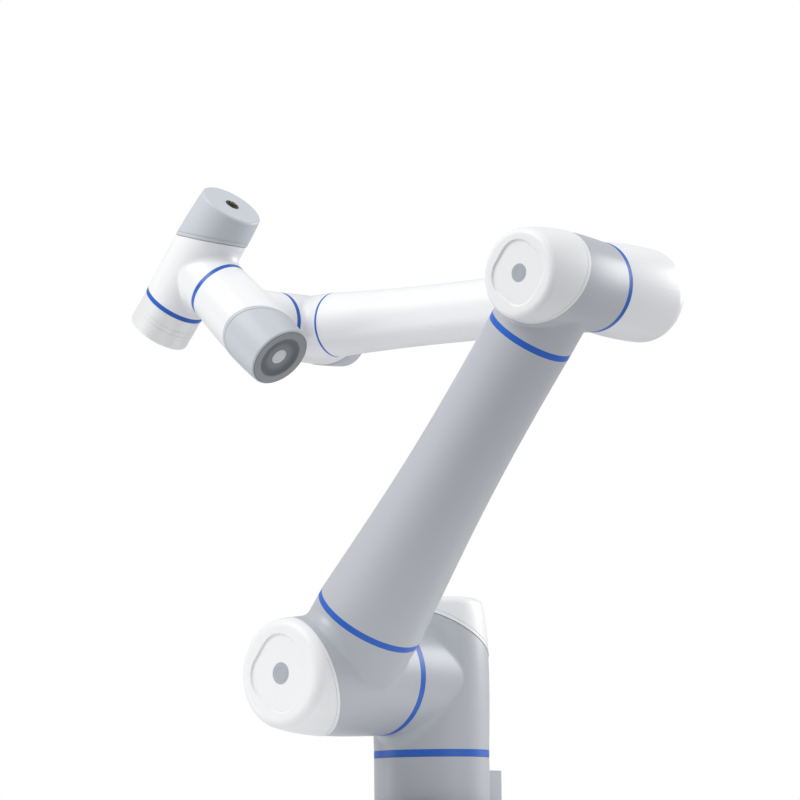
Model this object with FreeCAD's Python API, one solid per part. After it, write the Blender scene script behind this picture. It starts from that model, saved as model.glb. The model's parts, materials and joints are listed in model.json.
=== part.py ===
import FreeCAD, Part

import math
import os

from FreeCAD import Vector

# Six-axis collaborative robot arm. Millimetres and degrees. +Z is up and the origin is the centre of the
# base's mounting face, on the first joint's axis. The shoulder, elbow and first wrist axes run along +Y.

# ---- driving dimensions: the links ----
SHOULDER_HEIGHT = 176.5     # mounting face to the shoulder axis
SHOULDER_OFFSET = 186.0     # base axis to the upper arm's axis
UPPER_ARM_LENGTH = 607.0    # shoulder axis to elbow axis
ELBOW_OFFSET = 142.0        # upper arm's axis to the forearm's axis, along the elbow axis
FOREARM_LENGTH = 568.0      # elbow axis to wrist 1 axis
WRIST_OFFSET = 114.0        # forearm's axis to the wrist 2 axis, along the wrist 1 axis
WRIST_LENGTH = 124.0        # wrist 1 axis to wrist 3 axis
TOOL_LENGTH = 111.0         # wrist 2 axis to the tool face

# ---- driving dimensions: the pose the arm is stored in ----
UPPER_ARM_ANGLE = 51.0      # from +X towards +Z
FOREARM_ANGLE = 178.3       # from +X towards +Z
WRIST_ANGLE = 137.5         # wrist 2 axis, from +X towards +Z
TOOL_ANGLE = -89.0          # wrist 3 axis, from +Y about the wrist 2 axis

# ---- driving dimensions: shells ----
WALL = 5.0                  # cast housing
COVER_WALL = 3.0            # moulded cover
TUBE_WALL = 4.0             # arm tube
SEAM = 0.9                  # groove between a cover and its housing
COVER_PROUD = 0.7           # how far a cover stands proud of its housing
LINE_DEPTH = 0.6            # decorative groove round a cover, in line with its seam
LINE_WIDTH = 0.8
LINE_OFFSET = 6.0           # seam to that groove
SPIGOT_DEPTH = 6.0          # lip of the housing inside its cover
SPIGOT_GAP = 0.5
SPIGOT_WALL = 2.5
SPIGOT_ROOT = 2.0           # how far the lip reaches back into the housing's wall
SIDE_SWELL = 0.27           # narrowing of a barrel halfway to its front, as a share of the whole
SIDE_TAPER = 1.6            # slope of a barrel past its ring, as a multiple of its mean slope
SEAL_BORE = 0.66            # inside of a seal ring, as a share of its radius
INNER_EDGE = 0.8            # smallest rounding inside a shell
JOINT_GAP = 0.4             # gap between parts that turn against each other
FIT = 0.06                  # radial clearance of a running fit
DISH_DEPTH = 2.6            # depth of the dish in a cover's face
DISH_EDGE = 1.2             # rounding where the dish meets the face
DISH_FLOOR_EDGE = 2.0       # rounding at the dish's floor
END_PLATE = 7.0             # plate that closes a port and carries the next joint's output
CABLE_WAY = 0.2             # radius of the cable way through a joint, as a share of its ring's
FAR = 260.0                 # longer than any module, for trimming

# ---- driving dimensions: coloured rings ----
BIG_RING_WIDTH = 9.5        # shoulder and base joints
ELBOW_RING_WIDTH = 7.0
WRIST_1_RING_WIDTH = 6.5
WRIST_2_RING_WIDTH = 6.0
WRIST_3_RING_WIDTH = 6.5
ARM_RING_WIDTH = 8.5        # both ends of the upper arm
FOREARM_RING_WIDTH = 3.5
BASE_RING_AT = 98.0         # joint centre to the middle of its output ring
SHOULDER_RING_AT = 84.0
ELBOW_RING_AT = 67.0
WRIST_1_RING_AT = 54.5
WRIST_2_RING_AT = 64.5
WRIST_3_RING_AT = 62.0
LOWER_RING_AT = 94.0        # shoulder centre to the upper arm's lower ring
UPPER_RING_AT = 79.5        # elbow centre to the upper arm's upper ring
FOREARM_RING_AT = 63.5      # wrist 1 centre to the forearm's ring
LOWER_RING_RADIUS = 72.0
UPPER_RING_RADIUS = 56.0
FOREARM_RING_RADIUS = 44.0
RING_DEPTH = 6.0            # radial thickness of a ring that doesn't turn

# ---- driving dimensions: the forearm ----
ELBOW_END_RADIUS = 60.5     # widest radius of the forearm's elbow end
ELBOW_END_TOP = 50.0        # forearm's axis to the end of its elbow end
ELBOW_END_DOME = 3.0        # height of that end's dome
ELBOW_END_EDGE = 28.0       # rounding of that end
NECK_RADIUS = 47.0          # where the forearm leaves its elbow end
NECK_END = 96.0             # elbow axis to the tube's start
NECK_BLEND = 16.0           # blend between the elbow end and the neck
FOREARM_START_RADIUS = 43.0
FOREARM_MIDDLE_RADIUS = 40.0

# ---- driving dimensions: the base ----
BASE_FLANGE_RADIUS = 95.0
BASE_FLANGE_HEIGHT = 13.0
BASE_FLANGE_EDGE = 2.5
BASE_FLOOR = 8.0
BASE_BOLT_CIRCLE = 170.0
BASE_BOLT_HOLE = 9.0
BASE_PANEL_WIDTH = 92.0
BASE_PANEL_HEIGHT = 44.0
BASE_PANEL_REACH = 92.0     # base axis to the connector panel's face
BASE_PANEL_EDGE = 5.0
BASE_PANEL_BOX_START = 20.0 # base axis to the start of the hollow behind the panel
BASE_PANEL_MIDDLE = BASE_FLANGE_HEIGHT + BASE_PANEL_HEIGHT / 2
PANEL_THICKNESS = 3.0
PANEL_GAP = 0.2
PANEL_SCREW_ACROSS = 37.0
PANEL_SCREW_UP = 13.0
SCREW_HEAD_RADIUS = 2.8     # M3 socket head, low form
SCREW_HEAD_HEIGHT = 1.4
SCREW_DRIVE_RADIUS = 1.3
SCREW_DRIVE_DEPTH = 0.9

# ---- driving dimensions: connectors ----
SOCKET_WALL = 2.0
SOCKET_DEPTH = 10.0
SOCKET_MOUTH = 4.0          # how far a panel socket stands out
INSERT_DEPTH = 6.0          # insert that holds the contacts
CONTACT_DEPTH = 4.0
POWER_SOCKET_RADIUS = 11.0
POWER_SOCKET_AT = -20.0     # across the panel
POWER_CONTACTS = 4
POWER_CONTACT_RADIUS = 1.6
SIGNAL_SOCKET_RADIUS = 6.5
SIGNAL_SOCKET_AT = 16.0
SIGNAL_CONTACTS = 8
SIGNAL_CONTACT_RADIUS = 0.7
TOOL_SOCKET_RADIUS = 5.5
TOOL_SOCKET_MOUTH = 1.0
TOOL_CONTACTS = 8
TOOL_CONTACT_RADIUS = 0.5
CONTACT_CIRCLE = 0.6        # circle of a socket's contacts, as a share of its radius

# ---- driving dimensions: the tool flange ----
TOOL_BOLT_CIRCLE = 50.0
TOOL_BOLT_HOLE = 5.0        # tapping size of an M6 thread
TOOL_BOLT_DEPTH = 12.0
TOOL_PILOT_RADIUS = 15.75
TOOL_PILOT_DEPTH = 6.0
TOOL_PIN_RADIUS = 3.0
TOOL_PIN_DEPTH = 6.0
TOOL_FLANGE_INSET = 0.6     # flange radius, less than the ring's by this
TOOL_FLANGE_EDGE = 1.2
TOOL_LINES = (0.38, 0.52)   # fine grooves round the flange, as shares of its height
TOOL_LINE_WIDTH = 0.8
TOOL_LINE_DEPTH = 0.5
TOOL_WALL = 16.0            # solid metal behind the tool face

# ---- driving dimensions: the drives, as shares of the ring's radius unless in millimetres ----
OUTPUT_RADIUS = 0.64
OUTPUT_HEIGHT = 15.0        # mm
CUP_RADIUS = 0.56
CUP_WALL = 0.04
CUP_LENGTH = 0.3
BEARING_HEIGHT = 9.0        # mm
SPLINE_GAP = 3.0            # mm, bearing to circular spline
DRIVE_FIT = 0.3             # mm, a drive's ring inside its housing
ROTOR_TOP = 17.0            # mm, neighbour's face to the top of the motor's shaft
SHAFT_RADIUS = 0.17
SHAFT_BORE = 0.12
SHAFT_LENGTH = 0.95
GENERATOR_RADIUS = 0.5
GENERATOR_SPAN = (0.06, 0.24)
MAGNET_RADIUS = 0.42
MAGNET_SPAN = (0.4, 0.72)
STATOR_SPAN = (0.38, 0.74)
STATOR_RADIUS = 0.66        # inside of the yoke
TOOTH_TIP = 0.44
TOOTH_WIDTH = 0.14
TOOTH_COUNT = 12
BOARD_AT = 1.02
BOARD_THICKNESS = 1.6       # mm
BOARD_EDGE = 4.0            # mm, board to the housing's bore
BOARD_PLUG = (16.0, 9.0, 4.8)  # mm, length, width and height of a plug housing
BOARD_PLUG_AT = 0.5
BOARD_CHIP = (10.0, 10.0, 2.8)
BOARD_CHIP_AT = 0.35

X = Vector(1, 0, 0)
Y = Vector(0, 1, 0)
Z = Vector(0, 0, 1)
ZERO = Vector(0, 0, 0)


class JointSize:
    """One size of joint module, in the module's own frame.

    Its z axis is the joint's, from the cover to the output. Its x axis runs out of the side port, and the
    origin is where the two cross.
    """

    def __init__(self, *, ring_radius, ring_at, ring_width, body_radius, body_at, front, rim_radius,
                 rim_edge, seam_centre, seam_tilt, port_radius, port_root, port_end, output_blend,
                 cover_blend):
        self.ring_radius = ring_radius    # outer radius of the output seal ring
        self.ring_at = ring_at            # centre of that ring along z
        self.ring_width = ring_width
        self.body_radius = body_radius    # widest radius
        self.body_at = body_at            # where the barrel is widest, below the origin
        self.front = front                # front face, below the origin
        self.rim_radius = rim_radius      # radius of the front face, before its edge is rounded
        self.rim_edge = rim_edge          # rounding of that edge
        self.seam_centre = seam_centre    # where the slanted seam crosses the axis, below the origin
        self.seam_tilt = seam_tilt        # slant of the seam, which comes nearest to the front at the port
        self.port_radius = port_radius    # radius at the port's end
        self.port_root = port_root        # radius where the port would reach the origin
        self.port_end = port_end          # origin to the port's end face
        self.output_blend = output_blend  # blend between barrel and port, on the output's side
        self.cover_blend = cover_blend    # the same, on the cover's side

    def face(self):
        """Where the housing ends and its seal ring starts."""
        return self.ring_at - self.ring_width / 2

    def mate(self):
        """Where the neighbour's face starts, past the ring and the turning gap."""
        return self.ring_at + self.ring_width / 2 + JOINT_GAP

    def bore(self):
        """Inner radius of the housing at its output."""
        return self.ring_radius - WALL


def port_length(centre_distance, ring_at, ring_width):
    """Port that ends against the next joint's output, whose centre is that far off."""
    return centre_distance - ring_at - ring_width / 2 - JOINT_GAP


BASE_SIZE = JointSize(
    ring_radius=76.5, ring_at=BASE_RING_AT, ring_width=BIG_RING_WIDTH,
    body_radius=77.5, body_at=20.0, front=107.5, rim_radius=68.0, rim_edge=13.0,
    seam_centre=58.0, seam_tilt=27.5, port_radius=75.5, port_root=74.8,
    port_end=port_length(SHOULDER_OFFSET, SHOULDER_RING_AT, BIG_RING_WIDTH),
    output_blend=16.0, cover_blend=18.0)
SHOULDER_SIZE = JointSize(
    ring_radius=75.5, ring_at=SHOULDER_RING_AT, ring_width=BIG_RING_WIDTH,
    body_radius=77.5, body_at=20.0, front=107.0, rim_radius=68.0, rim_edge=13.0,
    seam_centre=58.0, seam_tilt=27.5, port_radius=LOWER_RING_RADIUS, port_root=71.2,
    port_end=LOWER_RING_AT - ARM_RING_WIDTH / 2,
    output_blend=7.0, cover_blend=18.0)
ELBOW_SIZE = JointSize(
    ring_radius=57.0, ring_at=ELBOW_RING_AT, ring_width=ELBOW_RING_WIDTH,
    body_radius=61.5, body_at=18.0, front=85.0, rim_radius=54.5, rim_edge=9.0,
    seam_centre=36.0, seam_tilt=22.0, port_radius=UPPER_RING_RADIUS, port_root=55.4,
    port_end=UPPER_RING_AT - ARM_RING_WIDTH / 2,
    output_blend=7.0, cover_blend=8.0)
WRIST_1_SIZE = JointSize(
    ring_radius=44.0, ring_at=WRIST_1_RING_AT, ring_width=WRIST_1_RING_WIDTH,
    body_radius=46.2, body_at=26.0, front=86.0, rim_radius=43.2, rim_edge=2.5,
    seam_centre=41.5, seam_tilt=29.0, port_radius=FOREARM_RING_RADIUS, port_root=42.8,
    port_end=FOREARM_RING_AT - FOREARM_RING_WIDTH / 2,
    output_blend=8.0, cover_blend=15.0)
WRIST_2_SIZE = JointSize(
    ring_radius=43.5, ring_at=WRIST_2_RING_AT, ring_width=WRIST_2_RING_WIDTH,
    body_radius=46.2, body_at=26.0, front=86.0, rim_radius=43.2, rim_edge=2.5,
    seam_centre=41.0, seam_tilt=31.0, port_radius=44.0, port_root=43.0,
    port_end=port_length(WRIST_OFFSET, WRIST_1_RING_AT, WRIST_1_RING_WIDTH),
    output_blend=12.0, cover_blend=12.5)
WRIST_3_SIZE = JointSize(
    ring_radius=43.5, ring_at=WRIST_3_RING_AT, ring_width=WRIST_3_RING_WIDTH,
    body_radius=46.0, body_at=26.0, front=102.5, rim_radius=43.2, rim_edge=3.5,
    seam_centre=42.5, seam_tilt=26.5, port_radius=43.5, port_root=42.8,
    port_end=port_length(WRIST_LENGTH, WRIST_2_RING_AT, WRIST_2_RING_WIDTH),
    output_blend=12.0, cover_blend=12.5)

# Covers of the large joints have a square dish with round corners, (half width, corner radius).
# Covers of the first two wrist joints have a round concave dish, (radius, radius of its floor).
BIG_DISH = (45.5, 34.0)
ELBOW_DISH = (37.5, 28.5)
WRIST_DISH = (31.0, 19.0)

# ---- frames ----

def direction(angle):
    """Unit vector in the arm's plane, from +X towards +Z."""
    return Vector(math.cos(math.radians(angle)), 0, math.sin(math.radians(angle)))


def place(shape, origin, z_axis, x_axis):
    """Moves a shape from a module's own frame to the row frame."""
    y_axis = z_axis.cross(x_axis)
    matrix = FreeCAD.Matrix(x_axis.x, y_axis.x, z_axis.x, origin.x,
                            x_axis.y, y_axis.y, z_axis.y, origin.y,
                            x_axis.z, y_axis.z, z_axis.z, origin.z,
                            0, 0, 0, 1)
    moved = shape.copy()
    moved.Placement = FreeCAD.Placement(matrix).multiply(shape.Placement)
    return moved


UPPER_ARM_AXIS = direction(UPPER_ARM_ANGLE)
FOREARM_AXIS = direction(FOREARM_ANGLE)
WRIST_2_AXIS = direction(WRIST_ANGLE)
WRIST_3_AXIS = (Y * math.cos(math.radians(TOOL_ANGLE))
                + Y.cross(WRIST_2_AXIS) * math.sin(math.radians(TOOL_ANGLE)))

BASE_CENTRE = Z * SHOULDER_HEIGHT
SHOULDER_CENTRE = BASE_CENTRE - Y * SHOULDER_OFFSET
ELBOW_CENTRE = SHOULDER_CENTRE + UPPER_ARM_AXIS * UPPER_ARM_LENGTH
FOREARM_START = ELBOW_CENTRE + Y * ELBOW_OFFSET
WRIST_1_CENTRE = FOREARM_START + FOREARM_AXIS * FOREARM_LENGTH
WRIST_2_CENTRE = WRIST_1_CENTRE - Y * WRIST_OFFSET
WRIST_3_CENTRE = WRIST_2_CENTRE + WRIST_2_AXIS * WRIST_LENGTH

# name: (size, centre, axis from the cover to the output, direction of the port)
MODULES = {
    "base_joint": (BASE_SIZE, BASE_CENTRE, -Z, -Y),
    "shoulder": (SHOULDER_SIZE, SHOULDER_CENTRE, Y, UPPER_ARM_AXIS),
    "elbow": (ELBOW_SIZE, ELBOW_CENTRE, Y, -UPPER_ARM_AXIS),
    "wrist_1": (WRIST_1_SIZE, WRIST_1_CENTRE, -Y, -FOREARM_AXIS),
    "wrist_2": (WRIST_2_SIZE, WRIST_2_CENTRE, WRIST_2_AXIS, Y),
    "wrist_3": (WRIST_3_SIZE, WRIST_3_CENTRE, WRIST_3_AXIS, -WRIST_2_AXIS),
}


# ---- building blocks, in a module's own frame ----

def tube(outer, inner, start, end):
    """Ring or tube about z."""
    body = Part.makeCylinder(outer, end - start, Vector(0, 0, start))
    return body.cut(Part.makeCylinder(inner, end - start, Vector(0, 0, start)))


def disc(radius, start, end):
    return Part.makeCylinder(radius, end - start, Vector(0, 0, start))


def turned(points):
    """Solid of revolution about z from (radius, height) points joined by straight lines."""
    corners = [Vector(r, 0, h) for r, h in points]
    return Part.Face(Part.makePolygon(corners + corners[:1])).revolve(ZERO, Z, 360)


def around(shape, count, first=0.0):
    """Copies of a shape spaced evenly about z."""
    copies = []
    for i in range(count):
        one = shape.copy()
        one.rotate(ZERO, Z, first + 360.0 * i / count)
        copies.append(one)
    return copies


def ring_edges_at(shape, height, radius):
    """Circular edges about z at a height and of a radius."""
    found = []
    for edge in shape.Edges:
        if edge.Degenerated or not isinstance(edge.Curve, Part.Circle):
            continue
        if abs(edge.Curve.Radius - radius) < 0.01 and abs(edge.Curve.Center.z - height) < 0.01:
            found.append(edge)
    return found


def below_seam(size, offset):
    """Everything on the cover's side of the slanted seam, moved along z by offset."""
    block = Part.makeBox(2 * FAR, 2 * FAR, FAR, Vector(-FAR, -FAR, -FAR))
    block.rotate(ZERO, Y, size.seam_tilt)
    block.translate(Vector(0, 0, offset - size.seam_centre))
    return block


def form(size, grow):
    """Outer form of barrel and cover together, grown outwards by grow and reaching past the seal ring.

    Its side is one smooth curve from the front's edge over the widest place to the seal ring.
    """
    top = size.face() + 2 * size.cover_blend
    front = -size.front - grow
    middle = (front - size.body_at) / 2
    swell = size.body_radius - SIDE_SWELL * (size.body_radius - size.rim_radius)
    taper = SIDE_TAPER * (size.body_radius - size.ring_radius) / (size.face() + size.body_at)
    last = size.ring_radius + grow - taper * (top - size.face())
    curve = Part.BSplineCurve()
    curve.interpolate([Vector(size.rim_radius + grow, 0, front), Vector(swell + grow, 0, middle),
                       Vector(size.body_radius + grow, 0, -size.body_at),
                       Vector(size.ring_radius + grow, 0, size.face()), Vector(last, 0, top)])
    sides = [curve.toShape(),
             Part.makeLine(Vector(last, 0, top), Vector(0, 0, top)),
             Part.makeLine(Vector(0, 0, top), Vector(0, 0, front)),
             Part.makeLine(Vector(0, 0, front), Vector(size.rim_radius + grow, 0, front))]
    body = Part.Face(Part.Wire(sides)).revolve(ZERO, Z, 360)
    body.rotate(ZERO, Z, 180)
    edge = max(size.rim_edge + grow, INNER_EDGE)
    return body.makeFillet(edge, ring_edges_at(body, front, size.rim_radius + grow))


def filleted_tee(size):
    """Barrel and port before trimming, with a blend that widens from the output's side to the cover's.

    One half is blended and mirrored, so that the blend's radius can change along it.
    """
    spare = 2 * size.cover_blend
    length = size.port_end + spare
    growth = (size.port_radius - size.port_root) / size.port_end
    port = Part.makeCone(size.port_root, size.port_root + growth * length, length, ZERO, X)
    joined = form(size, 0).fuse(port)
    half = joined.common(Part.makeBox(2 * FAR, FAR, 2 * FAR, Vector(-FAR, 0, -FAR)))
    half = half.makeFillet(size.output_blend, size.cover_blend, blend_edges(half))
    return half.fuse(half.mirror(ZERO, Y)).removeSplitter()


def blend_edges(joined):
    """Edges where a port leaves its barrel."""
    found = []
    for edge in joined.Edges:
        if edge.Degenerated or isinstance(edge.Curve, (Part.Circle, Part.Line)):
            continue
        box = edge.BoundBox
        if box.XMin > -1 and box.YMax > 5 and box.YLength > 5:
            found.append(edge)
    return found


def trimmed(shape, top, port_end):
    """A module's outer shape, cut off at its output and at its port's end."""
    shape = shape.cut(Part.makeBox(2 * FAR, 2 * FAR, FAR, Vector(-FAR, -FAR, top)))
    return shape.cut(Part.makeBox(FAR, 2 * FAR, 2 * FAR, Vector(port_end, -FAR, -FAR)))


def housing(size, with_plate):
    """Cast housing: hollow barrel and port, open towards the cover and the output."""
    shell = trimmed(filleted_tee(size), size.face(), size.port_end).cut(below_seam(size, 0))
    hollow = form(size, -COVER_WALL - SPIGOT_GAP - SPIGOT_WALL)
    spigot = form(size, -COVER_WALL - SPIGOT_GAP)
    spigot.translate(Vector(0, 0, DISH_DEPTH))
    spigot = spigot.common(below_seam(size, SPIGOT_ROOT)).cut(below_seam(size, -SPIGOT_DEPTH))
    shell = shell.fuse(spigot).cut(hollow)
    shell = shell.cut(disc(size.bore(), -size.body_at, FAR))
    depth = size.port_end - (END_PLATE if with_plate else 0)
    shell = shell.cut(Part.makeCylinder(size.port_root - WALL, depth, ZERO, X))
    if with_plate:
        shell = shell.cut(Part.makeCylinder(CABLE_WAY * size.port_radius, FAR, ZERO, X))
    return shell


def rounded_square(half_width, corner, start, height):
    """Square prism about z with round corners and its sides square to x and y."""
    width = 2 * half_width
    block = Part.makeBox(width, width, height, Vector(-half_width, -half_width, start))
    return block.makeFillet(corner, [edge for edge in block.Edges if edge.BoundBox.ZLength > height / 2])


def short_level_edges(shape, height, longest):
    """Level edges at a height, none longer across than longest."""
    boxes = [(edge, edge.BoundBox) for edge in shape.Edges]
    level = [(edge, box) for edge, box in boxes if box.ZLength < 0.01 and abs(box.ZMin - height) < 0.01]
    return [edge for edge, box in level if box.DiagonalLength < longest]


def square_dish(shell, front, dish):
    """Shell with a square, round-cornered dish in its front face."""
    half_width, corner = dish
    floor = front + DISH_DEPTH
    shell = shell.cut(rounded_square(half_width, corner, front - 1, DISH_DEPTH + 1))
    shell = shell.makeFillet(DISH_FLOOR_EDGE, short_level_edges(shell, floor, 3 * corner))
    rim = short_level_edges(shell, front, 3 * half_width)
    reach = math.hypot(front, 1.2 * half_width)
    return shell.makeFillet(DISH_EDGE, [edge for edge in rim if edge.CenterOfMass.Length < reach])


def round_dish(shell, front, dish):
    """Shell with a round concave dish in its front face."""
    radius, floor_radius = dish
    floor = front + DISH_DEPTH
    recess = turned([(0, front - 1), (radius + 1.0, front - 1), (radius, front + 0.2),
                     ((radius + floor_radius) / 2, floor - 0.5), (floor_radius, floor), (0, floor)])
    return shell.cut(recess)


def cover(size):
    """Moulded cover without its dish: round front edge, slanted open rear, fine groove along the seam."""
    shell = form(size, COVER_PROUD)
    inner = form(size, -COVER_WALL)
    inner.translate(Vector(0, 0, DISH_DEPTH))
    line = form(size, COVER_PROUD + 1).cut(form(size, COVER_PROUD - LINE_DEPTH))
    line = line.common(below_seam(size, -LINE_OFFSET)).cut(below_seam(size, -LINE_OFFSET - LINE_WIDTH))
    line = line.cut(disc(FAR, -FAR, -size.front + size.rim_edge))
    return shell.cut(inner).common(below_seam(size, -SEAM)).cut(line)


def dished_cover(size, dish, square):
    shell = cover(size)
    front = -size.front - COVER_PROUD
    if square:
        return square_dish(shell, front, dish)
    return round_dish(shell, front, dish)


def seal_ring(size):
    """Coloured ring that covers the turning gap."""
    start = size.face()
    return tube(size.ring_radius, SEAL_BORE * size.ring_radius, start, start + size.ring_width)


# ---- the drive inside each joint, in the module's own frame ----

def output_flange(size):
    """Output flange with the flexspline cup, fixed to the neighbour."""
    top = size.mate()
    low = top - OUTPUT_HEIGHT
    body = disc(OUTPUT_RADIUS * size.ring_radius, low, top)
    cup = tube(CUP_RADIUS * size.ring_radius, (CUP_RADIUS - CUP_WALL) * size.ring_radius,
               low - CUP_LENGTH * size.ring_radius, low + 1)
    return body.fuse(cup).cut(disc(CABLE_WAY * size.ring_radius, low - 1, top + 1))


def reducer(size):
    """Outer bearing ring and circular spline, fixed in the housing."""
    top = size.face() - 0.2
    low = top - BEARING_HEIGHT
    outer = size.bore() - DRIVE_FIT
    bearing = tube(outer, OUTPUT_RADIUS * size.ring_radius + FIT, low, top)
    spline_low = low - CUP_LENGTH * size.ring_radius
    spline = tube(outer, CUP_RADIUS * size.ring_radius + FIT, spline_low, low - SPLINE_GAP)
    return [bearing, spline]


def span_below(top, size, span):
    """Lowest and highest height of a drive part whose span is in shares of the ring's radius."""
    return top - span[1] * size.ring_radius, top - span[0] * size.ring_radius


def rotor(size):
    """Hollow shaft with the magnet ring and the wave generator."""
    top = size.mate() - ROTOR_TOP
    bottom = top - SHAFT_LENGTH * size.ring_radius
    shaft = disc(SHAFT_RADIUS * size.ring_radius, bottom, top)
    generator = disc(GENERATOR_RADIUS * size.ring_radius, *span_below(top, size, GENERATOR_SPAN))
    magnets = disc(MAGNET_RADIUS * size.ring_radius, *span_below(top, size, MAGNET_SPAN))
    body = shaft.fuse([generator, magnets])
    return body.cut(disc(SHAFT_BORE * size.ring_radius, bottom - 1, top + 1))


def stator(size):
    """Wound stator ring with its teeth."""
    low, high = span_below(size.mate() - ROTOR_TOP, size, STATOR_SPAN)
    width = TOOTH_WIDTH * size.ring_radius
    yoke = tube(size.bore() - DRIVE_FIT, STATOR_RADIUS * size.ring_radius, low, high)
    tooth = Part.makeBox((STATOR_RADIUS - TOOTH_TIP) * size.ring_radius + 1, width, high - low - 4,
                         Vector(TOOTH_TIP * size.ring_radius, -width / 2, low + 2))
    return yoke.fuse(around(tooth, TOOTH_COUNT))


def board(size):
    """Drive board with its connectors and chips, behind the motor."""
    level = size.mate() - ROTOR_TOP - BOARD_AT * size.ring_radius
    back = level - BOARD_THICKNESS
    plate = tube(size.bore() - BOARD_EDGE, CABLE_WAY * size.ring_radius, back, level)
    plug = board_block(BOARD_PLUG, BOARD_PLUG_AT * size.ring_radius, back)
    chip = board_block(BOARD_CHIP, BOARD_CHIP_AT * size.ring_radius, back)
    return plate.fuse(around(plug, 2, 90.0) + around(chip, 3, 20.0))


def board_block(block, reach, back):
    """Block on the board's back, let slightly into it."""
    length, width, height = block
    return Part.makeBox(length, width, height + 0.2, Vector(reach, -width / 2, back - height))


# ---- links ----

def spun_tube(profile, wall):
    """Tube about z whose outer radius follows a smooth curve through (height, radius) points."""
    def solid(offset):
        curve = Part.BSplineCurve()
        curve.interpolate([Vector(r - offset, 0, h) for h, r in profile])
        first = profile[0]
        last = profile[-1]
        side = [curve.toShape(),
                Part.makeLine(Vector(last[1] - offset, 0, last[0]), Vector(0, 0, last[0])),
                Part.makeLine(Vector(0, 0, last[0]), Vector(0, 0, first[0])),
                Part.makeLine(Vector(0, 0, first[0]), Vector(first[1] - offset, 0, first[0]))]
        return Part.Face(Part.Wire(side)).revolve(ZERO, Z, 360)
    return solid(0).cut(solid(wall))


def upper_arm_tube():
    start = LOWER_RING_AT + ARM_RING_WIDTH / 2
    end = UPPER_ARM_LENGTH - UPPER_RING_AT - ARM_RING_WIDTH / 2
    span = end - start
    drop = LOWER_RING_RADIUS - UPPER_RING_RADIUS
    profile = [(start, LOWER_RING_RADIUS), (start + 0.22 * span, LOWER_RING_RADIUS - 0.43 * drop),
               (start + 0.5 * span, LOWER_RING_RADIUS - 0.86 * drop),
               (start + 0.78 * span, UPPER_RING_RADIUS - 0.3), (end, UPPER_RING_RADIUS)]
    return spun_tube(profile, TUBE_WALL)


def forearm_tube():
    end = FOREARM_LENGTH - FOREARM_RING_AT - FOREARM_RING_WIDTH / 2
    span = end - NECK_END
    profile = [(NECK_END, FOREARM_START_RADIUS), (NECK_END + 0.3 * span, FOREARM_MIDDLE_RADIUS + 0.5),
               (NECK_END + 0.65 * span, FOREARM_MIDDLE_RADIUS), (end, FOREARM_RING_RADIUS)]
    return spun_tube(profile, TUBE_WALL)


def forearm_elbow():
    """Rounded end of the forearm that takes the elbow's output. z is the elbow's axis, x the forearm's."""
    low = ELBOW_SIZE.mate() - ELBOW_OFFSET
    edge_height = ELBOW_END_TOP - ELBOW_END_DOME
    curve = Part.BSplineCurve()
    curve.interpolate([Vector(ELBOW_SIZE.ring_radius, 0, low), Vector(ELBOW_END_RADIUS - 0.5, 0, 0.4 * low),
                       Vector(ELBOW_END_RADIUS, 0, 0), Vector(ELBOW_END_RADIUS - 2.0, 0, edge_height)])
    dome = Part.Arc(Vector(ELBOW_END_RADIUS - 2.0, 0, edge_height),
                    Vector(ELBOW_END_RADIUS / 2, 0, ELBOW_END_TOP - 0.25 * ELBOW_END_DOME),
                    Vector(0, 0, ELBOW_END_TOP))
    sides = [curve.toShape(), dome.toShape(), Part.makeLine(Vector(0, 0, ELBOW_END_TOP), Vector(0, 0, low)),
             Part.makeLine(Vector(0, 0, low), Vector(ELBOW_SIZE.ring_radius, 0, low))]
    body = Part.Face(Part.Wire(sides)).revolve(ZERO, Z, 360)
    body.rotate(ZERO, Z, 180)
    body = body.makeFillet(ELBOW_END_EDGE, ring_edges_at(body, edge_height, ELBOW_END_RADIUS - 2.0))
    taper = (NECK_RADIUS - FOREARM_START_RADIUS) / NECK_END
    length = NECK_END + 20
    port = Part.makeCone(NECK_RADIUS, NECK_RADIUS - taper * length, length, ZERO, X)
    joined = body.fuse(port)
    joined = joined.makeFillet(NECK_BLEND, blend_edges(joined))
    joined = joined.cut(Part.makeBox(FAR, FAR, FAR, Vector(NECK_END, -FAR / 2, -FAR / 2)))
    bore = ELBOW_SIZE.ring_radius - WALL
    floor = low + END_PLATE
    inner = turned([(0, floor), (bore, floor), (bore, edge_height - ELBOW_END_EDGE),
                    (bore - 0.6 * ELBOW_END_EDGE, edge_height - WALL), (0, edge_height - WALL)])
    joined = joined.cut(inner)
    joined = joined.cut(Part.makeCylinder(FOREARM_START_RADIUS - WALL, FAR, ZERO, X))
    return joined.cut(disc(CABLE_WAY * ELBOW_SIZE.ring_radius, low - 1, 0))


def plain_ring(radius, middle, width):
    """Coloured ring let into an arm where a tube meets a casting."""
    return tube(radius, radius - RING_DEPTH, middle - width / 2, middle + width / 2)


# ---- base ----

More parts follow.
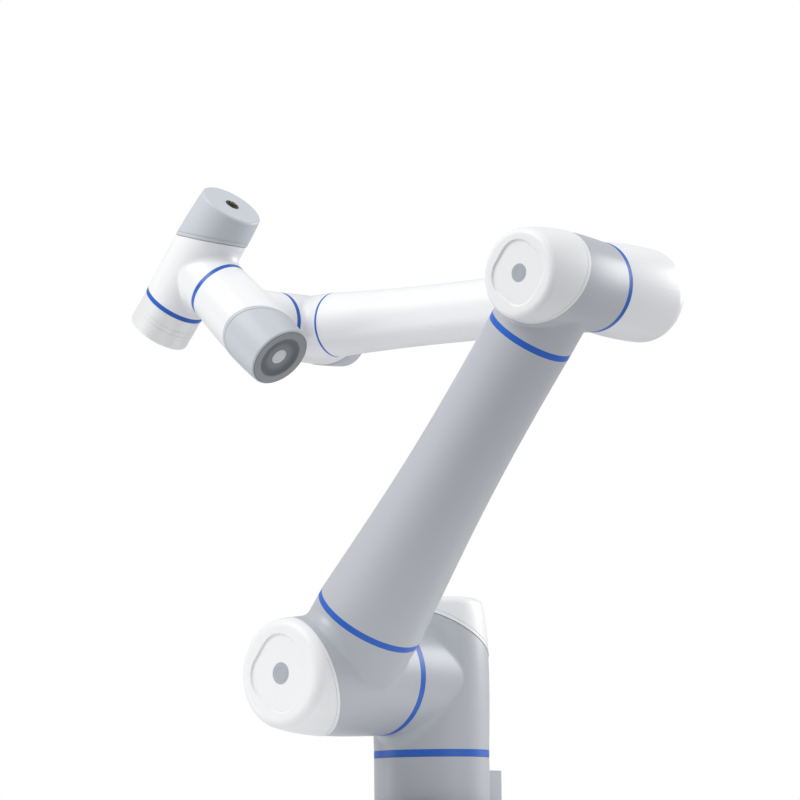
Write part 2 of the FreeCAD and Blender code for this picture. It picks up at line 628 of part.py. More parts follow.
def base_housing():
    """Bolted base with the connector panel's box at the back. Row frame."""
    top = SHOULDER_HEIGHT - BASE_SIZE.mate()
    radius = BASE_SIZE.ring_radius
    body = disc(BASE_FLANGE_RADIUS, 0, BASE_FLANGE_HEIGHT)
    body = body.makeFillet(BASE_FLANGE_EDGE, ring_edges_at(body, BASE_FLANGE_HEIGHT, BASE_FLANGE_RADIUS))
    body = body.fuse(disc(radius, 0, top))
    box = Part.makeBox(BASE_PANEL_WIDTH, BASE_PANEL_REACH, BASE_PANEL_HEIGHT,
                       Vector(-BASE_PANEL_WIDTH / 2, 0, BASE_FLANGE_HEIGHT))
    rear = [edge for edge in box.Edges if edge.BoundBox.YMin > BASE_PANEL_REACH - 1]
    box = box.makeFillet(BASE_PANEL_EDGE, rear)
    body = body.fuse(box)
    body = body.cut(disc(radius - WALL, BASE_FLOOR, top - BASE_FLOOR))
    body = body.cut(Part.makeBox(BASE_PANEL_WIDTH - 2 * WALL, FAR, BASE_PANEL_HEIGHT - 2 * WALL,
                                 Vector(WALL - BASE_PANEL_WIDTH / 2, BASE_PANEL_BOX_START,
                                        BASE_FLANGE_HEIGHT + WALL)))
    body = body.cut(disc(CABLE_WAY * radius, top - BASE_FLOOR - 1, top + 1))
    hole = Part.makeCylinder(BASE_BOLT_HOLE / 2, FAR, Vector(BASE_BOLT_CIRCLE / 2, 0, -1))
    return body.cut(around(hole, 4, 45.0))


def base_panel():
    """Plate that carries the base's connectors."""
    inset = WALL + PANEL_GAP
    plate = Part.makeBox(BASE_PANEL_WIDTH - 2 * inset, PANEL_THICKNESS, BASE_PANEL_HEIGHT - 2 * inset,
                         Vector(inset - BASE_PANEL_WIDTH / 2, BASE_PANEL_REACH - PANEL_THICKNESS,
                                BASE_FLANGE_HEIGHT + inset))
    plate = plate.cut(panel_cylinder(POWER_SOCKET_AT, POWER_SOCKET_RADIUS + SOCKET_WALL))
    return plate.cut(panel_cylinder(SIGNAL_SOCKET_AT, SIGNAL_SOCKET_RADIUS + SOCKET_WALL))


def panel_cylinder(across, radius):
    """Cylinder through the panel, along +Y."""
    return Part.makeCylinder(radius, FAR, Vector(across, 0, BASE_PANEL_MIDDLE), Y)


def socket(radius, mouth, contacts, contact_radius):
    """Round female socket about z, its collar against z = 0 and its mouth facing +z."""
    body = tube(radius + SOCKET_WALL, radius, -SOCKET_DEPTH, mouth)
    collar = tube(radius + 2 * SOCKET_WALL, radius, 0, 0.75 * mouth)
    insert = disc(radius + SOCKET_WALL, -SOCKET_DEPTH - INSERT_DEPTH, -SOCKET_DEPTH)
    floor = -SOCKET_DEPTH - CONTACT_DEPTH
    hole = Part.makeCylinder(contact_radius, FAR, Vector(CONTACT_CIRCLE * radius, 0, floor))
    return body.fuse([collar, insert.cut(around(hole, contacts))])


def base_connector(across, radius, contacts, contact_radius):
    shape = socket(radius, SOCKET_MOUTH, contacts, contact_radius)
    return place(shape, Vector(across, BASE_PANEL_REACH, BASE_PANEL_MIDDLE), Y, X)


def panel_screws():
    """Four socket-head screws in the panel's corners."""
    screws = []
    for across in (-PANEL_SCREW_ACROSS, PANEL_SCREW_ACROSS):
        for up in (-PANEL_SCREW_UP, PANEL_SCREW_UP):
            foot = Vector(across, BASE_PANEL_REACH, BASE_PANEL_MIDDLE + up)
            head = Part.makeCylinder(SCREW_HEAD_RADIUS, SCREW_HEAD_HEIGHT, foot, Y)
            drive = Part.makeCylinder(SCREW_DRIVE_RADIUS, SCREW_HEAD_HEIGHT,
                                      foot + Y * (SCREW_HEAD_HEIGHT - SCREW_DRIVE_DEPTH), Y)
            screws.append(head.cut(drive))
    return screws


# ---- tool end ----

def tool_flange():
    """Output of the last joint, with the tool's bolt circle, pilot and pin hole. Wrist 3 module frame."""
    size = WRIST_3_SIZE
    low = size.mate()
    radius = size.ring_radius - TOOL_FLANGE_INSET
    body = disc(radius, low, TOOL_LENGTH)
    body = body.makeFillet(TOOL_FLANGE_EDGE, ring_edges_at(body, TOOL_LENGTH, radius))
    for share in TOOL_LINES:
        level = low + share * (TOOL_LENGTH - low)
        body = body.cut(tube(radius + 1, radius - TOOL_LINE_DEPTH, level, level + TOOL_LINE_WIDTH))
    body = body.fuse(output_flange(size))
    body = body.cut(disc(CABLE_WAY * size.ring_radius, low - FAR, TOOL_LENGTH - TOOL_WALL))
    body = body.cut(disc(TOOL_PILOT_RADIUS, TOOL_LENGTH - TOOL_PILOT_DEPTH, TOOL_LENGTH + 1))
    on_circle = TOOL_BOLT_CIRCLE / 2
    bolt = Part.makeCylinder(TOOL_BOLT_HOLE / 2, FAR, Vector(on_circle, 0, TOOL_LENGTH - TOOL_BOLT_DEPTH))
    pin = Part.makeCylinder(TOOL_PIN_RADIUS, FAR, Vector(on_circle, 0, TOOL_LENGTH - TOOL_PIN_DEPTH))
    return body.cut(around(bolt, 4, 45.0) + [pin])


def tool_connector():
    """Socket for the tool's cable, in the last cover's face. Wrist 3 module frame."""
    shape = socket(TOOL_SOCKET_RADIUS, TOOL_SOCKET_MOUTH, TOOL_CONTACTS, TOOL_CONTACT_RADIUS)
    shape.rotate(ZERO, X, 180)
    shape.translate(Vector(0, 0, -WRIST_3_SIZE.front - COVER_PROUD))
    return shape


def last_cover():
    """Flat cover with the hole for the tool connector."""
    return cover(WRIST_3_SIZE).cut(disc(TOOL_SOCKET_RADIUS + SOCKET_WALL + FIT, -FAR, 0))


# ---- export ----

def save(name, shapes):
    """Writes one node."""
    if not isinstance(shapes, list):
        shapes = [shapes]
    shape = shapes[0] if len(shapes) == 1 else Part.makeCompound(shapes)
    for solid in shape.Solids:
        if not solid.isValid() or solid.Volume <= 0:
            print("bad solid in", name)
    if len(shape.Solids) != len(shapes):
        print(name, "has", len(shape.Solids), "solids")
    shape.exportStep("parts/" + name + ".step")


def save_module(name, cover_shape, with_plate):
    size, centre, z_axis, x_axis = MODULES[name]
    pieces = {
        "housing": [housing(size, with_plate)],
        "cover": [cover_shape],
        "seal_ring": [seal_ring(size)],
        "stator": [stator(size)],
        "rotor": [rotor(size)],
        "reducer": reducer(size),
        "drive_board": [board(size)],
    }
    if size is not WRIST_3_SIZE:
        pieces["output"] = [output_flange(size)]
    for piece, shapes in pieces.items():
        save(name + "_" + piece, [place(shape, centre, z_axis, x_axis) for shape in shapes])


def save_base():
    save("base_housing", base_housing())
    save("base_panel", base_panel())
    save("base_panel_screws", panel_screws())
    save("power_connector",
         base_connector(POWER_SOCKET_AT, POWER_SOCKET_RADIUS, POWER_CONTACTS, POWER_CONTACT_RADIUS))
    save("signal_connector",
         base_connector(SIGNAL_SOCKET_AT, SIGNAL_SOCKET_RADIUS, SIGNAL_CONTACTS, SIGNAL_CONTACT_RADIUS))


def save_modules():
    save_module("base_joint", dished_cover(BASE_SIZE, BIG_DISH, square=True), with_plate=True)
    save_module("shoulder", dished_cover(SHOULDER_SIZE, BIG_DISH, square=True), with_plate=False)
    save_module("elbow", dished_cover(ELBOW_SIZE, ELBOW_DISH, square=True), with_plate=False)
    save_module("wrist_1", dished_cover(WRIST_1_SIZE, WRIST_DISH, square=False), with_plate=False)
    save_module("wrist_2", dished_cover(WRIST_2_SIZE, WRIST_DISH, square=False), with_plate=True)
    save_module("wrist_3", last_cover(), with_plate=True)


def save_arms():
    lower = plain_ring(LOWER_RING_RADIUS, LOWER_RING_AT, ARM_RING_WIDTH)
    upper = plain_ring(UPPER_RING_RADIUS, UPPER_RING_AT, ARM_RING_WIDTH)
    fore = plain_ring(FOREARM_RING_RADIUS, FOREARM_RING_AT, FOREARM_RING_WIDTH)
    save("upper_arm_lower_ring", place(lower, SHOULDER_CENTRE, UPPER_ARM_AXIS, Y))
    save("upper_arm_tube", place(upper_arm_tube(), SHOULDER_CENTRE, UPPER_ARM_AXIS, Y))
    save("upper_arm_upper_ring", place(upper, ELBOW_CENTRE, -UPPER_ARM_AXIS, Y))
    save("forearm_elbow", place(forearm_elbow(), FOREARM_START, Y, FOREARM_AXIS))
    save("forearm_tube", place(forearm_tube(), FOREARM_START, FOREARM_AXIS, Y))
    save("forearm_ring", place(fore, WRIST_1_CENTRE, -FOREARM_AXIS, Y))


def save_tool_end():
    save("tool_flange", place(tool_flange(), WRIST_3_CENTRE, WRIST_3_AXIS, -WRIST_2_AXIS))
    save("tool_connector", place(tool_connector(), WRIST_3_CENTRE, WRIST_3_AXIS, -WRIST_2_AXIS))


os.makedirs("parts", exist_ok=True)
save_base()
save_modules()
save_arms()
save_tool_end()
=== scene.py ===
import json
import math

import bmesh
import bpy
from mathutils import Matrix, Vector

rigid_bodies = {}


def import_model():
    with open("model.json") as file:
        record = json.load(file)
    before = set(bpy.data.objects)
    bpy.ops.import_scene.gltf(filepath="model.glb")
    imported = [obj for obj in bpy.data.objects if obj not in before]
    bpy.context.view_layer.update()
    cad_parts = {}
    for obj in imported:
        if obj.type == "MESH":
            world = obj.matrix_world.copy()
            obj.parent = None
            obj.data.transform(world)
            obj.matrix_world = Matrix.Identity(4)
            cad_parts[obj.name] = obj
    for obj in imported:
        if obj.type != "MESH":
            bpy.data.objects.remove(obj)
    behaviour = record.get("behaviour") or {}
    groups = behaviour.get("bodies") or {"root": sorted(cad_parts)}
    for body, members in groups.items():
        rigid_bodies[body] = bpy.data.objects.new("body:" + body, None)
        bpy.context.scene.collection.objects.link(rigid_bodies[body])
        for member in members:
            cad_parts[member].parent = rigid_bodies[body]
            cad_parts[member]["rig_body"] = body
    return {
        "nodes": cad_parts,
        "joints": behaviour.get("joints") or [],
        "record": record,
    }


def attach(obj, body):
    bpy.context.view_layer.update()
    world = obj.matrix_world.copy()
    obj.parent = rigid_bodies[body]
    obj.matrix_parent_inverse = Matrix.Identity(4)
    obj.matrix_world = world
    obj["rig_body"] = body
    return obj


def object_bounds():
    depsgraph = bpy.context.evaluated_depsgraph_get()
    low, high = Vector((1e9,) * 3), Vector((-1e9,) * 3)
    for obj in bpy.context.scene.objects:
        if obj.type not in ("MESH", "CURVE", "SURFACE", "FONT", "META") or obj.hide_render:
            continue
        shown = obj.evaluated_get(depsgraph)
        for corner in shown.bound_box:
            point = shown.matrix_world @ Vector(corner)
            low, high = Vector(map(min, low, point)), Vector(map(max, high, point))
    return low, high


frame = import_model()
cad_low, cad_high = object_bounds()

NODES = frame["nodes"]
JOINTS = {joint["name"]: joint for joint in frame["joints"]}
SLOT_OF = {part["node"]: part["material_slot"] for part in frame["record"]["subparts"]}
MM = 0.001

# module: (its arm joint, side of its cover)
# The side is 1 for a cover on the positive side of the joint's axis, and -1 for one on the other side.
MODULES = {
    "base_joint": ("base_turn", 1),
    "shoulder": ("shoulder_turn", -1),
    "elbow": ("elbow_turn", -1),
    "wrist_1": ("wrist_1_turn", 1),
    "wrist_2": ("wrist_2_turn", -1),
    "wrist_3": ("wrist_3_turn", -1),
}


def module_frame(name):
    """(centre, direction out of the cover) of a joint module."""
    joint, side = MODULES[name]
    return Vector(JOINTS[joint]["pos_m"]), Vector(JOINTS[joint]["axis"]) * side


# ---- materials ----

class Graph:
    """A material's nodes, with short calls for the ones used here."""

    def __init__(self, name):
        self.material = bpy.data.materials.new(name)
        self.material.use_nodes = True
        self.tree = self.material.node_tree
        self.shader = self.tree.nodes["Principled BSDF"]
        self.place = self.add("ShaderNodeTexCoord").outputs["Object"]

    def add(self, kind, **settings):
        node = self.tree.nodes.new(kind)
        for key, value in settings.items():
            setattr(node, key, value)
        return node

    def feed(self, socket, value):
        """Links an output, or sets a plain value."""
        if isinstance(value, bpy.types.NodeSocket):
            self.tree.links.new(value, socket)
        else:
            socket.default_value = value

    def noise(self, scale, detail=2.0, roughness=0.5, place=None):
        node = self.add("ShaderNodeTexNoise")
        self.feed(node.inputs["Vector"], place or self.place)
        node.inputs["Scale"].default_value = scale
        node.inputs["Detail"].default_value = detail
        node.inputs["Roughness"].default_value = roughness
        return node.outputs["Fac"]

    def cells(self, scale):
        node = self.add("ShaderNodeTexVoronoi")
        self.feed(node.inputs["Vector"], self.place)
        node.inputs["Scale"].default_value = scale
        return node.outputs["Distance"]

    def math(self, operation, first, second=0.0):
        node = self.add("ShaderNodeMath", operation=operation)
        self.feed(node.inputs[0], first)
        self.feed(node.inputs[1], second)
        return node.outputs[0]

    def spread(self, value, low, high):
        """Maps 0..1 to low..high."""
        node = self.add("ShaderNodeMapRange")
        self.feed(node.inputs["Value"], value)
        node.inputs["To Min"].default_value = low
        node.inputs["To Max"].default_value = high
        return node.outputs["Result"]

    def weigh(self, first, share, second):
        """A share of the first value, and the rest of the second."""
        rest = self.math("MULTIPLY", second, 1.0 - share)
        return self.math("ADD", self.math("MULTIPLY", first, share), rest)

    def blend(self, share, first, second):
        node = self.add("ShaderNodeMix", data_type="RGBA")
        self.feed(node.inputs["Factor"], share)
        self.feed(node.inputs["A"], first)
        self.feed(node.inputs["B"], second)
        return node.outputs["Result"]

    def vector(self, operation, first, second):
        node = self.add("ShaderNodeVectorMath", operation=operation)
        self.feed(node.inputs[0], first)
        self.feed(node.inputs[1], second)
        return node.outputs["Value"] if operation in ("DOT_PRODUCT", "LENGTH") else node.outputs["Vector"]

    def about_axis(self, centre, axis):
        """(height along an axis, distance from it)."""
        offset = self.vector("SUBTRACT", self.place, tuple(centre))
        height = self.vector("DOT_PRODUCT", offset, tuple(axis))
        foot = self.add("ShaderNodeVectorMath", operation="SCALE")
        self.feed(foot.inputs[0], tuple(axis))
        self.feed(foot.inputs["Scale"], height)
        across = self.vector("SUBTRACT", offset, foot.outputs["Vector"])
        return height, self.vector("LENGTH", across, (0.0, 0.0, 0.0))

    def bands(self, value, stops):
        """Colour that changes smoothly through (value in 0..1, colour) stops."""
        node = self.add("ShaderNodeValToRGB")
        self.feed(node.inputs["Fac"], value)
        ramp = node.color_ramp
        while len(ramp.elements) < len(stops):
            ramp.elements.new(0.5)
        for element, (place, color) in zip(ramp.elements, stops):
            element.position = place
            element.color = shade(color, 1.0)
        return node.outputs["Color"]

    def bump(self, height, distance, strength, below=None):
        node = self.add("ShaderNodeBump")
        self.feed(node.inputs["Height"], height)
        node.inputs["Distance"].default_value = distance
        node.inputs["Strength"].default_value = strength
        if below is not None:
            self.feed(node.inputs["Normal"], below)
        return node.outputs["Normal"]

    def surface(self, **values):
        for key, value in values.items():
            self.feed(self.shader.inputs[key.replace("_", " ")], value)
        return self.material


def shade(color, factor):
    return tuple(channel * factor for channel in color) + (1.0,)


def painted(name, color, roughness, coat, coat_roughness=0.28):
    """Sprayed paint: fine orange peel, faint clouding and a few dust specks."""
    graph = Graph(name)
    peel = graph.noise(520.0, 3.0, 0.45)
    waves = graph.noise(26.0, 2.0)
    clouds = graph.noise(5.0, 3.0)
    base = graph.blend(graph.spread(clouds, 0.2, 0.8), shade(color, 0.975), shade(color, 1.015))
    specks = graph.math("LESS_THAN", graph.cells(420.0), 0.045)
    base = graph.blend(graph.math("MULTIPLY", specks, 0.10), base, shade(color, 0.72))
    normal = graph.bump(waves, 0.12 * MM, 0.5, graph.bump(peel, 0.03 * MM, 0.55))
    rough = graph.spread(graph.weigh(clouds, 0.6, peel), roughness - 0.05, roughness + 0.05)
    return graph.surface(Base_Color=base, Roughness=rough, Normal=normal, Coat_Weight=coat,
                         Coat_Roughness=coat_roughness, IOR=1.48)


def moulded(name, color, roughness, grain=1500.0, depth=0.03 * MM):
    """Moulded plastic with a fine spark-eroded grain."""
    graph = Graph(name)
    pits = graph.cells(grain)
    fine = graph.noise(grain * 1.7, 2.0)
    clouds = graph.noise(9.0, 3.0)
    base = graph.blend(graph.spread(clouds, 0.1, 0.9), shade(color, 0.97), shade(color, 1.02))
    base = graph.blend(graph.spread(fine, 0.0, 0.12), base, shade(color, 0.85))
    normal = graph.bump(fine, depth * 0.5, 0.5, graph.bump(pits, depth, 0.6))
    rough = graph.spread(graph.weigh(clouds, 0.5, fine), roughness - 0.06, roughness + 0.06)
    return graph.surface(Base_Color=base, Roughness=rough, Normal=normal, IOR=1.46)


def turned_metal(name, color, roughness, centre, axis, pitch):
    """Metal turned in a lathe: fine rings round an axis, in the height along it and the distance from it."""
    graph = Graph(name)
    height, distance = graph.about_axis(centre, axis)
    along = graph.add("ShaderNodeCombineXYZ")
    graph.feed(along.inputs["X"], graph.math("DIVIDE", height, pitch))
    graph.feed(along.inputs["Y"], graph.math("DIVIDE", distance, pitch))
    rings = graph.noise(1.0, 2.0, 0.6, along.outputs["Vector"])
    clouds = graph.noise(14.0, 3.0)
    base = graph.blend(graph.spread(rings, 0.1, 0.9), shade(color, 0.93), shade(color, 1.03))
    rough = graph.spread(graph.weigh(rings, 0.6, clouds), roughness - 0.08, roughness + 0.08)
    normal = graph.bump(rings, 0.02 * MM, 0.5)
    return graph.surface(Base_Color=base, Roughness=rough, Normal=normal, Metallic=0.35, IOR=1.5)


def shaded_dish_face(name, centre, axis, radius):
    """Dark moulded face with a lighter flat rim and a spark-eroded grain. The dish has painted shade: it is
    darkest on the dish's slope, a little less dark on its floor, and dark in a thin ring at the outer edge.
    """
    graph = Graph(name)
    distance = graph.about_axis(centre, axis)[1]
    # painted shade: bands darker than the rim on the dish's floor and slope and at the outer edge stand in
    # for the shade of the recess
    dish_shade = graph.bands(graph.math("DIVIDE", distance, radius), [
        (0.0, FACE_FLOOR_SHADE), (0.40, FACE_FLOOR_SHADE), (0.56, FACE_SLOPE_SHADE), (0.70, FACE_SLOPE_SHADE),
        (0.76, FACE_RIM), (0.96, FACE_RIM), (1.0, FACE_SLOPE_SHADE)])
    pits = graph.cells(1800.0)
    fine = graph.noise(3000.0, 2.0)
    base = graph.blend(graph.spread(fine, 0.0, 0.12), dish_shade, shade(FACE_SLOPE_SHADE, 1.0))
    rough = graph.spread(graph.noise(9.0, 3.0), 0.42, 0.54)
    normal = graph.bump(fine, 0.015 * MM, 0.5, graph.bump(pits, 0.03 * MM, 0.6))
    return graph.surface(Base_Color=base, Roughness=rough, Normal=normal, IOR=1.46)


def ground_metal(name, color, roughness):
    """Ground or wound metal with faint random streaks."""
    graph = Graph(name)
    stretched = graph.add("ShaderNodeMapping")
    graph.feed(stretched.inputs["Vector"], graph.place)
    stretched.inputs["Scale"].default_value = (1.0, 1.0, 14.0)
    streaks = graph.noise(90.0, 4.0, 0.6, stretched.outputs["Vector"])
    clouds = graph.noise(11.0, 3.0)
    base = graph.blend(graph.spread(streaks, 0.0, 1.0), shade(color, 0.9), shade(color, 1.06))
    rough = graph.spread(clouds, roughness - 0.07, roughness + 0.07)
    normal = graph.bump(streaks, 0.03 * MM, 0.4)
    return graph.surface(Base_Color=base, Roughness=rough, Normal=normal, Metallic=1.0)


def circuit_board(name):
    """Solder mask over faint copper tracks."""
    graph = Graph(name)
    contours = graph.math("FRACT", graph.math("MULTIPLY", graph.noise(60.0, 0.0), 14.0))
    tracks = graph.math("LESS_THAN", contours, 0.3)
    base = graph.blend(tracks, shade(MASK_GREEN, 1.0), shade(TRACK_GREEN, 1.0))
    rough = graph.spread(tracks, 0.32, 0.42)
    return graph.surface(Base_Color=base, Roughness=rough, Normal=graph.bump(tracks, 0.03 * MM, 0.5))


GRAY_PAINT = (0.440, 0.457, 0.486)
WHITE_PAINT = (0.81, 0.812, 0.818)
WHITE_COVER = (0.775, 0.775, 0.78)
GRAY_COVER = (0.52, 0.545, 0.575)
FACE_RIM = (0.285, 0.297, 0.315)
# painted shade: the darker colours of the wrist faces' dish slope and floor stand in for the recess's shade;
# the slope colour also darkens the grain
FACE_SLOPE_SHADE = (0.115, 0.122, 0.132)
FACE_FLOOR_SHADE = (0.20, 0.208, 0.222)
RING_BLUE = (0.012, 0.105, 0.50)
BADGE_GRAY = (0.36, 0.385, 0.42)
BADGE_LIGHT = (0.62, 0.63, 0.65)
FLANGE_METAL = (0.84, 0.84, 0.835)
STEEL = (0.52, 0.52, 0.54)
COPPER = (0.62, 0.27, 0.12)
CONTACT_GOLD = (0.78, 0.66, 0.38)
MASK_GREEN = (0.006, 0.055, 0.025)
TRACK_GREEN = (0.012, 0.10, 0.045)
CONNECTOR_BLACK = (0.012, 0.012, 0.014)
PANEL_DARK = (0.035, 0.037, 0.04)
FLOOR_PAINT = (0.86, 0.86, 0.86)
AMBIENT = (0.50, 0.51, 0.525)

TURNING_PITCH = 0.7 * MM


def slot_materials():
    flange_joint = JOINTS["wrist_3_turn"]
    return {
        "paint_gray": painted("gray_paint", GRAY_PAINT, 0.42, 0.25, 0.30),
        "paint_white": painted("white_paint", WHITE_PAINT, 0.38, 0.2),
        "cover_white": moulded("white_cover_plastic", WHITE_COVER, 0.42),
        "cover_gray": moulded("gray_cover_plastic", GRAY_COVER, 0.46),
        "ring_blue": moulded("blue_ring_plastic", RING_BLUE, 0.38, 900.0),
        "flange_metal": turned_metal("turned_flange", FLANGE_METAL, 0.42, flange_joint["pos_m"],
                                     flange_joint["axis"], TURNING_PITCH),
        "steel": ground_metal("ground_steel", STEEL, 0.34),
        "stator_copper": ground_metal("wound_copper", COPPER, 0.4),
        "board_green": circuit_board("solder_mask"),
        "connector_black": moulded("connector_plastic", CONNECTOR_BLACK, 0.4, 2200.0),
        "panel_dark": painted("panel_paint", PANEL_DARK, 0.5, 0.0),
    }


# ---- mesh helpers ----

def make_object(name, mesh_data, material, smooth_angle=40.0):
    """Object from a bmesh, smooth but for its sharp edges."""
    bmesh.ops.recalc_face_normals(mesh_data, faces=mesh_data.faces[:])
    mesh = bpy.data.meshes.new(name)
    mesh_data.to_mesh(mesh)
    mesh_data.free()
    mesh.shade_smooth()
    mesh.set_sharp_from_angle(angle=math.radians(smooth_angle))
    mesh.materials.append(material)
    made = bpy.data.objects.new(name, mesh)
    bpy.context.scene.collection.objects.link(made)
    return made


def turned_mesh(profile, steps=96):
    """Closed solid turned about z from (radius, height) points, first and last on the axis."""
    shape = bmesh.new()
    angles = [2 * math.pi * i / steps for i in range(steps)]
    rings = []
    for radius, height in profile:
        turns = angles if radius > 0.0 else angles[:1]
        places = [(radius * math.cos(turn), radius * math.sin(turn), height) for turn in turns]
        rings.append([shape.verts.new(place) for place in places])
    for low, high in zip(rings, rings[1:]):
        for i in range(steps):
            corners = [low[i % len(low)], low[(i + 1) % len(low)]]
            corners += [high[(i + 1) % len(high)], high[i % len(high)]]
            kept = [corner for k, corner in enumerate(corners) if corner not in corners[:k]]
            if len(kept) > 2:
                shape.faces.new(kept)
    return shape


def seat(made, origin, z_axis):
    """Puts an object's z axis along a direction at a point, in its mesh."""
    turn = z_axis.to_track_quat("Z", "Y").to_matrix().to_4x4()
    made.data.transform(Matrix.Translation(origin) @ turn)
    return made


RAY_START = 300.0 * MM          # from a module's centre, outside every cover


def surface_height(node, centre, outward, side, reach):
    """Height along outward where a node's outer face is, at a distance from the axis along side."""
    start = centre + outward * RAY_START + side * reach
    hit, place, _, _ = NODES[node].ray_cast(start, -outward)
    return (place - centre).dot(outward) if hit else None


def ride_with(made, node):
    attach(made, NODES[node]["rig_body"])
    return made


# ---- pieces ----

FACE_RADIUS = 42.0 * MM
PLATE_LIFT = 0.15 * MM          # of the face plate over the cover
PLATE_ROOT = 0.3 * MM           # of its underside, below the cover's face
PLATE_EDGE = 0.7                # drop of its edge, as a share of the lift
PLATE_STEPS = 42

BADGE_RADIUS = {"base_joint": 14.0 * MM, "shoulder": 14.0 * MM, "elbow": 11.5 * MM}
WRIST_BADGE_RADIUS = 11.0 * MM
BADGE_RISE = 0.5 * MM           # of the badge's ring over the dish's floor
BADGE_FACE = 0.6                # height of the flat around the ring, as a share of the ring's
BADGE_RING = (0.52, 0.56, 0.70, 0.74)  # inner foot, inner top, outer top, outer foot, as shares of the radius
BADGE_EDGE = 0.12 * MM
BADGE_ROOT = 0.2 * MM           # of its underside, below the dish's floor

CONTACTS = {"tool": (8, 0.4 * MM), "power": (4, 1.4 * MM), "signal": (8, 0.55 * MM)}  # number, radius
CONTACT_CIRCLE = 0.6            # radius of their circle, as a share of the socket's
CONTACT_HEIGHT = 5.0 * MM       # of their tips over the socket's floor
CONTACT_LENGTH = 8.0 * MM


def face_plate(name, radius, material):
    """Thin dark plate that follows a wrist cover's face and its dish."""
    node = name + "_cover"
    centre, outward = module_frame(name)
    side = outward.orthogonal().normalized()
    heights = []
    for i in range(PLATE_STEPS + 1):
        reach = radius * i / PLATE_STEPS
        heights.append((reach, surface_height(node, centre, outward, side, reach)))
    top = [(reach, height + PLATE_LIFT) for reach, height in heights]
    top[-1] = (radius, top[-1][1] - PLATE_LIFT * PLATE_EDGE)
    under = [(reach, height - PLATE_ROOT) for reach, height in reversed(heights)]
    made = make_object(name + "_face_plate", turned_mesh(top + under), material, 50.0)
    seat(made, centre, outward)
    return ride_with(made, node)


def badge(name, radius, material, lift=0.0):
    """Plain round inlay with one raised ring, where the cover's badge is."""
    node = name + "_cover"
    centre, outward = module_frame(name)
    floor = surface_height(node, centre, outward, outward.orthogonal().normalized(), 0.0) + lift
    face = floor + BADGE_FACE * BADGE_RISE
    top = floor + BADGE_RISE
    inner_foot, inner_top, outer_top, outer_foot = [share * radius for share in BADGE_RING]
    profile = [(0.0, face), (inner_foot, face), (inner_foot + BADGE_EDGE, face + BADGE_EDGE),
               (inner_top, top), (outer_top, top), (outer_foot - BADGE_EDGE, face + BADGE_EDGE),
               (outer_foot, face), (radius - 2 * BADGE_EDGE, face), (radius, face - 2 * BADGE_EDGE),
               (radius, floor - BADGE_ROOT), (0.0, floor - BADGE_ROOT)]
    made = make_object(name + "_badge", turned_mesh(profile), material, 25.0)
    seat(made, centre, outward)
    return ride_with(made, node)


def add_badges():
    gray = moulded("badge_gray", BADGE_GRAY, 0.35, 2500.0, 0.01 * MM)
    light = moulded("badge_light", BADGE_LIGHT, 0.35, 2500.0, 0.01 * MM)
    for name, radius in BADGE_RADIUS.items():
        badge(name, radius, gray)
    for name in ("wrist_1", "wrist_2"):
        centre, outward = module_frame(name)
        face_plate(name, FACE_RADIUS, shaded_dish_face(name + "_face", centre, outward, FACE_RADIUS))
        badge(name, WRIST_BADGE_RADIUS, light, PLATE_LIFT)


def contacts(name, node, tips, z_axis, circle, count, radius, material):
    """Round-ended contacts of a socket, standing in its insert, as one piece."""
    shape = bmesh.new()
    for i in range(count):
        angle = 2 * math.pi * i / count
        profile = [(0.0, 0.0), (0.6 * radius, -0.15 * radius), (radius, -0.6 * radius),
                   (radius, -CONTACT_LENGTH), (0.0, -CONTACT_LENGTH)]
        one = turned_mesh(profile, 16)
        place = Vector((circle * math.cos(angle), circle * math.sin(angle), 0.0))
        bmesh.ops.translate(one, vec=place, verts=one.verts[:])
        mesh = bpy.data.meshes.new("contact")
        one.to_mesh(mesh)
        one.free()
        shape.from_mesh(mesh)
        bpy.data.meshes.remove(mesh)
    made = make_object(name, shape, material, 35.0)
    seat(made, tips, z_axis)
    return ride_with(made, node)


def add_contacts():
    """Pins of the three sockets, placed from the sockets' mounts."""
    metal = ground_metal("contact_metal", CONTACT_GOLD, 0.3)
    mounts = {mount["name"]: mount for mount in frame["record"]["mounts"]}
    for name, (count, radius) in CONTACTS.items():
        mount = mounts[name + "_socket"]
        outward = Vector(mount["axis"]) * (-1 if name == "tool" else 1)
        socket_radius = mount["dims"]["r_mm"] * MM
        floor = Vector(mount["pos_m"]) - outward * mount["dims"]["length_mm"] * MM / 2
        contacts(name + "_contacts", name + "_connector", floor + outward * CONTACT_HEIGHT, outward,
                 CONTACT_CIRCLE * socket_radius, count, radius, metal)


# ---- lights, camera, floor ----

def add_area(name, place, target, size, power, color):
    light = bpy.data.lights.new(name, "AREA")
    light.shape = "DISK"
    light.size = size
    light.energy = power
    light.color = color
    made = bpy.data.objects.new(name, light)
    bpy.context.scene.collection.objects.link(made)
    made.location = place
    made.rotation_mode = "QUATERNION"
    made.rotation_quaternion = (target - place).to_track_quat("-Z", "Y")


def add_world():
    """White surround: full white to the eye, dimmer as a light so that the shapes keep their shading."""
    world = bpy.data.worlds.new("studio")
    bpy.context.scene.world = world
    world.use_nodes = True
    tree = world.node_tree
    background = tree.nodes["Background"]
    path = tree.nodes.new("ShaderNodeLightPath")
    mix = tree.nodes.new("ShaderNodeMix")
    mix.data_type = "RGBA"
    mix.inputs["A"].default_value = shade(AMBIENT, 1.0)
    mix.inputs["B"].default_value = (1.0, 1.0, 1.0, 1.0)
    tree.links.new(path.outputs["Is Camera Ray"], mix.inputs["Factor"])
    tree.links.new(mix.outputs["Result"], background.inputs["Color"])


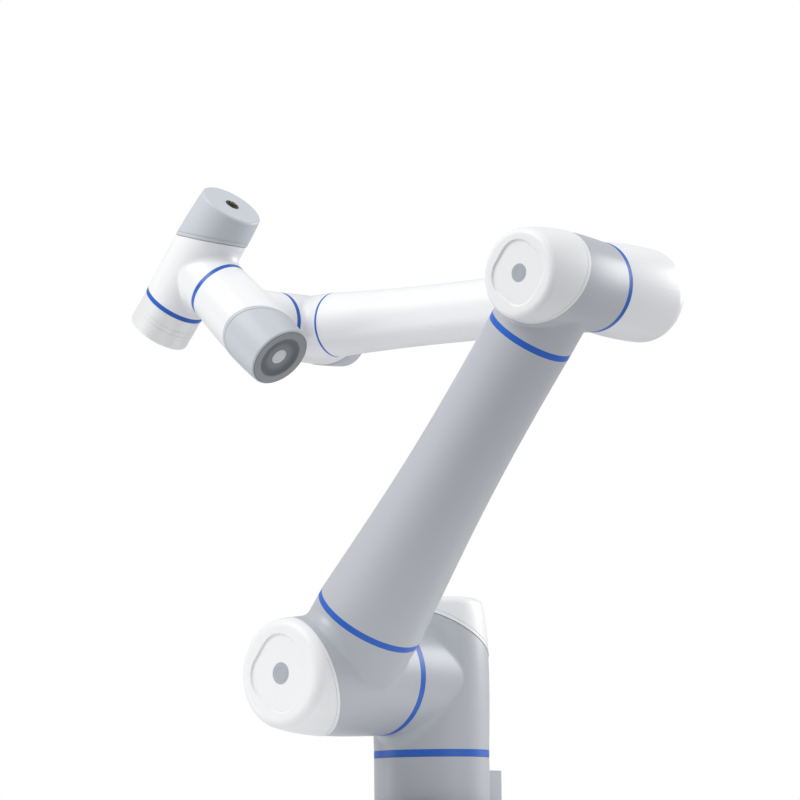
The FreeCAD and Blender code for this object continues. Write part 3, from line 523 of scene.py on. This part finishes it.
def add_floor():
    """Round pale platform under the base."""
    radius = 0.66
    thickness = 0.02
    edge = 0.004
    profile = [(0.0, 0.0), (radius - edge, 0.0), (radius - 0.3 * edge, -0.3 * edge), (radius, -edge),
               (radius, -thickness), (0.0, -thickness)]
    material = painted("floor_paint", FLOOR_PAINT, 0.6, 0.0)
    floor = make_object("floor", turned_mesh(profile, 192), material)


CAMERA_AIM = Vector((-0.003, -0.052, 0.548))
CAMERA_DISTANCE = 4.70
CAMERA_YAW = 131.2
CAMERA_PITCH = 7.46
CAMERA_ROLL = -0.66
CAMERA_LENS = 158.7


def add_camera():
    """Long lens, a little below the arm's middle and looking slightly up."""
    camera = bpy.data.cameras.new("camera")
    camera.sensor_width = 36.0
    camera.lens = CAMERA_LENS
    camera.clip_start = 0.1
    camera.clip_end = 60.0
    made = bpy.data.objects.new("camera", camera)
    bpy.context.scene.collection.objects.link(made)
    yaw = math.radians(CAMERA_YAW)
    pitch = math.radians(CAMERA_PITCH)
    roll = math.radians(CAMERA_ROLL)
    forward = Vector((math.cos(pitch) * math.cos(yaw), math.cos(pitch) * math.sin(yaw), math.sin(pitch)))
    level = Vector((math.sin(yaw), -math.cos(yaw), 0.0))
    upright = level.cross(forward)
    right = math.cos(roll) * level + math.sin(roll) * upright
    up = -math.sin(roll) * level + math.cos(roll) * upright
    turn = Matrix((right, up, -forward)).transposed().to_4x4()
    made.matrix_world = Matrix.Translation(CAMERA_AIM - forward * CAMERA_DISTANCE) @ turn
    bpy.context.scene.camera = made
    return right, up, -forward


# name: (right, up, back) of the light from the arm's middle in metres, diameter, power, colour
LIGHTS = {
    "key": ((-4.2, 4.6, 1.7), 4.2, 265.0, (1.0, 1.0, 1.0)),
    "left": ((-4.2, -1.4, -0.3), 3.0, 52.0, (1.0, 1.0, 1.0)),
    "fill": ((2.8, 0.8, 2.6), 2.4, 18.0, (0.97, 0.985, 1.0)),
    "rim": ((2.7, 0.8, -1.6), 1.8, 60.0, (1.0, 1.0, 1.0)),
    "top": ((0.6, 3.2, 0.4), 2.4, 24.0, (1.0, 1.0, 1.0)),
}


def add_lights(right, up, back):
    """Large soft lights: a key and a long left edge, a rim behind on the right, a top and a weak fill."""
    target = (cad_low + cad_high) / 2
    for name, (offset, size, power, color) in LIGHTS.items():
        across, high, near = offset
        add_area(name, target + right * across + up * high + back * near, target, size, power, color)


def dress_nodes():
    made = slot_materials()
    for name, node in NODES.items():
        node.data.materials.clear()
        node.data.materials.append(made[SLOT_OF[name]])


dress_nodes()
add_badges()
add_contacts()
add_world()
add_floor()
add_lights(*add_camera())
bpy.context.scene.view_settings.view_transform = "Standard"
